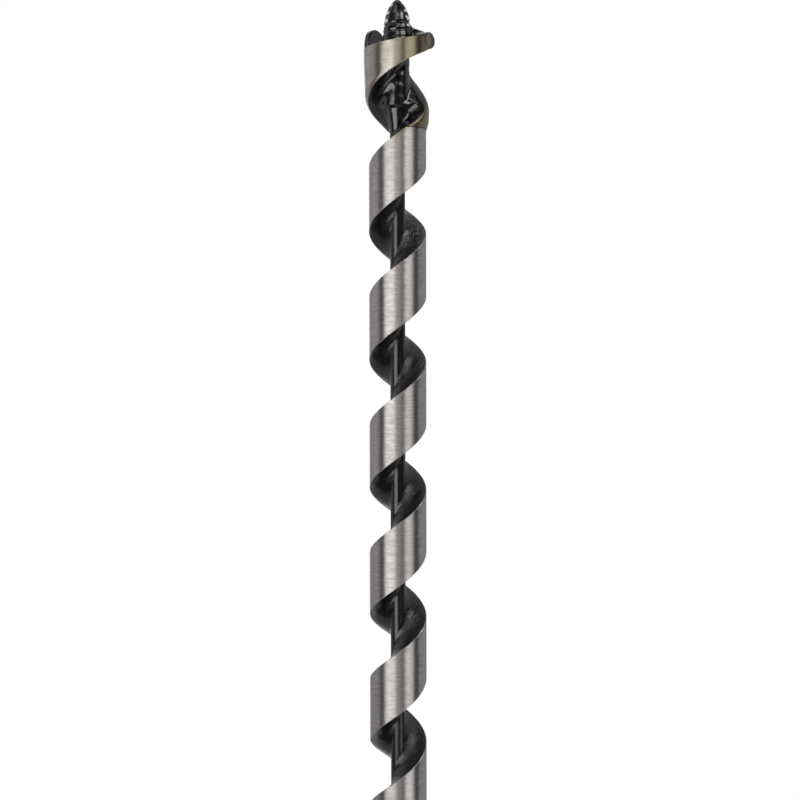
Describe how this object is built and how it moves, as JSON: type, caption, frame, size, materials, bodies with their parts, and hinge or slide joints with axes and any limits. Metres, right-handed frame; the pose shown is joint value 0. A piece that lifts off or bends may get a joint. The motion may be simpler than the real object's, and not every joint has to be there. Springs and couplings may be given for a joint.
{
  "type": "auger bit",
  "caption": "Long wood auger bit: hex shank, right-hand single-flute twist round a slim core, larger cutting head with lip and scoring spur, and an ogive lead screw.",
  "frame": {"origin": "centre of the shank's end face, on the bit's axis", "axes": "+Z along the axis from the shank to the point of the lead screw, cutting lip close to +X, viewer of the picture at -Y"},
  "size_m": [0.0226, 0.0211, 0.45],
  "materials": {
    "shank_steel": "turned and ground steel with a thin dark oxide",
    "twist_steel": "lands ground bright across the axis, flute left black with semi-gloss oxide",
    "head_steel": "lands ground and tempered to a straw tint, flute left glossy black",
    "screw_steel": "black oxide, thread crests worn bright"
  },
  "bodies": {
    "root": {"shank": "shank_steel", "twist": "twist_steel", "cutting_head": "head_steel", "lead_screw": "screw_steel"}
  },
  "joints": []
}
